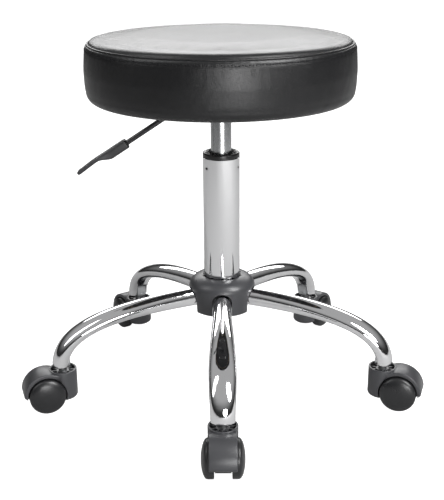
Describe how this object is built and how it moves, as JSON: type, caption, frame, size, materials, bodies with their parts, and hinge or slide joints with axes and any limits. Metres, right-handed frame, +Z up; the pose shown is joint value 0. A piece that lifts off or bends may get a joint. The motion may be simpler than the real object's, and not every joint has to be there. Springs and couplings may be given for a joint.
{
  "type": "adjustable swivel stool",
  "caption": "Round padded swivel stool on a gas lift with a release lever and a star base of chromed arms on twin-wheel casters.",
  "frame": {"origin": "on the floor, at the centre of the stool's box seen from above", "axes": "+Z up; the front arm points to -Y; the release lever points to -X"},
  "size_m": [0.5564, 0.529, 0.497],
  "materials": {
    "vinyl": "satin",
    "foam": "matte",
    "plywood": "matte",
    "dust_cloth": "matte",
    "chrome": "polished",
    "satin_steel": "satin",
    "zinc_steel": "satin",
    "black_paint": "satin",
    "grey_nylon": "satin",
    "grip_plastic": "satin",
    "wheel_nylon": "satin",
    "black_plastic": "gloss"
  },
  "bodies": {
    "base": {"hub_core": "zinc_steel", "hub_cover": "grey_nylon", "outer_column": "chrome", "guide_bush": "black_plastic", "thrust_bearing": "zinc_steel", "arm_1": "chrome", "arm_2": "chrome", "arm_3": "chrome", "arm_4": "chrome", "arm_5": "chrome", "stem_socket_1": "zinc_steel", "stem_socket_2": "zinc_steel", "stem_socket_3": "zinc_steel", "stem_socket_4": "zinc_steel", "stem_socket_5": "zinc_steel", "caster_stem_1": "zinc_steel", "caster_stem_2": "zinc_steel", "caster_stem_3": "zinc_steel", "caster_stem_4": "zinc_steel", "caster_stem_5": "zinc_steel"},
    "lift_rod": {"piston_rod": "satin_steel", "piston": "black_plastic", "bearing_washer": "zinc_steel", "retaining_clip": "zinc_steel"},
    "seat": {"pressure_tube": "satin_steel", "taper_socket": "black_paint", "mounting_plate": "black_paint", "seat_board": "plywood", "dust_cover": "dust_cloth", "seat_foam": "foam", "seat_cover": "vinyl", "seat_bolt_1": "zinc_steel", "seat_bolt_2": "zinc_steel", "seat_bolt_3": "zinc_steel", "seat_bolt_4": "zinc_steel", "lever_pin": "zinc_steel"},
    "lever": {"lever_rod": "black_paint", "lever_handle": "grip_plastic"},
    "valve": {"valve_pin": "satin_steel"},
    "caster_1": {"caster_hood_1": "grey_nylon", "axle_1": "zinc_steel"},
    "wheel_1_left": {"wheel_1_left": "wheel_nylon"},
    "wheel_1_right": {"wheel_1_right": "wheel_nylon"},
    "caster_2": {"caster_hood_2": "grey_nylon", "axle_2": "zinc_steel"},
    "wheel_2_left": {"wheel_2_left": "wheel_nylon"},
    "wheel_2_right": {"wheel_2_right": "wheel_nylon"},
    "caster_3": {"caster_hood_3": "grey_nylon", "axle_3": "zinc_steel"},
    "wheel_3_left": {"wheel_3_left": "wheel_nylon"},
    "wheel_3_right": {"wheel_3_right": "wheel_nylon"},
    "caster_4": {"caster_hood_4": "grey_nylon", "axle_4": "zinc_steel"},
    "wheel_4_left": {"wheel_4_left": "wheel_nylon"},
    "wheel_4_right": {"wheel_4_right": "wheel_nylon"},
    "caster_5": {"caster_hood_5": "grey_nylon", "axle_5": "zinc_steel"},
    "wheel_5_left": {"wheel_5_left": "wheel_nylon"},
    "wheel_5_right": {"wheel_5_right": "wheel_nylon"}
  },
  "joints": [
    {"name": "seat_swivel", "type": "hinge", "parent": "base", "child": "lift_rod", "pos_m": [0, 0.02234, 0.2], "axis": [0, 0, 1], "continuous": true},
    {"name": "seat_lift", "type": "slide", "parent": "lift_rod", "child": "seat", "axis": [0, 0, 1], "range_m": [-0.042, 0.078]},
    {"name": "lever_pull", "type": "hinge", "parent": "seat", "child": "lever", "pos_m": [-0.024, 0.02234, 0.4093], "axis": [0, 1, 0], "range_deg": [0, 7], "stiffness_Nm_per_rad": 1.5, "springref_deg": -3.44},
    {"name": "valve_press", "type": "slide", "parent": "seat", "child": "valve", "axis": [0, 0, -1], "range_m": [0, 0.0035]},
    {"name": "caster_swivel_1", "type": "hinge", "parent": "base", "child": "caster_1", "pos_m": [0, -0.20866, 0.045], "axis": [0, 0, 1], "continuous": true},
    {"name": "wheel_spin_1_left", "type": "hinge", "parent": "caster_1", "child": "wheel_1_left", "pos_m": [0, -0.23336, 0.02479], "axis": [1, 0, 0], "continuous": true},
    {"name": "wheel_spin_1_right", "type": "hinge", "parent": "caster_1", "child": "wheel_1_right", "pos_m": [0, -0.23336, 0.02479], "axis": [1, 0, 0], "continuous": true},
    {"name": "caster_swivel_2", "type": "hinge", "parent": "base", "child": "caster_2", "pos_m": [0.21969, -0.04904, 0.045], "axis": [0, 0, 1], "continuous": true},
    {"name": "wheel_spin_2_left", "type": "hinge", "parent": "caster_2", "child": "wheel_2_left", "pos_m": [0.24319, -0.05668, 0.02479], "axis": [0.309, 0.9511, 0], "continuous": true},
    {"name": "wheel_spin_2_right", "type": "hinge", "parent": "caster_2", "child": "wheel_2_right", "pos_m": [0.24319, -0.05668, 0.02479], "axis": [0.309, 0.9511, 0], "continuous": true},
    {"name": "caster_swivel_3", "type": "hinge", "parent": "base", "child": "caster_3", "pos_m": [0.13578, 0.20922, 0.045], "axis": [0, 0, 1], "continuous": true},
    {"name": "wheel_spin_3_left", "type": "hinge", "parent": "caster_3", "child": "wheel_3_left", "pos_m": [0.1503, 0.2292, 0.02479], "axis": [-0.809, 0.5878, 0], "continuous": true},
    {"name": "wheel_spin_3_right", "type": "hinge", "parent": "caster_3", "child": "wheel_3_right", "pos_m": [0.1503, 0.2292, 0.02479], "axis": [-0.809, 0.5878, 0], "continuous": true},
    {"name": "caster_swivel_4", "type": "hinge", "parent": "base", "child": "caster_4", "pos_m": [-0.13578, 0.20922, 0.045], "axis": [0, 0, 1], "continuous": true},
    {"name": "wheel_spin_4_left", "type": "hinge", "parent": "caster_4", "child": "wheel_4_left", "pos_m": [-0.1503, 0.2292, 0.02479], "axis": [-0.809, -0.5878, 0], "continuous": true},
    {"name": "wheel_spin_4_right", "type": "hinge", "parent": "caster_4", "child": "wheel_4_right", "pos_m": [-0.1503, 0.2292, 0.02479], "axis": [-0.809, -0.5878, 0], "continuous": true},
    {"name": "caster_swivel_5", "type": "hinge", "parent": "base", "child": "caster_5", "pos_m": [-0.21969, -0.04904, 0.045], "axis": [0, 0, 1], "continuous": true},
    {"name": "wheel_spin_5_left", "type": "hinge", "parent": "caster_5", "child": "wheel_5_left", "pos_m": [-0.24319, -0.05668, 0.02479], "axis": [0.309, -0.9511, 0], "continuous": true},
    {"name": "wheel_spin_5_right", "type": "hinge", "parent": "caster_5", "child": "wheel_5_right", "pos_m": [-0.24319, -0.05668, 0.02479], "axis": [0.309, -0.9511, 0], "continuous": true}
  ],
  "couplings": [
    {"joint": "valve_press", "follows": "lever_pull", "m_per_rad": 0.027}
  ]
}
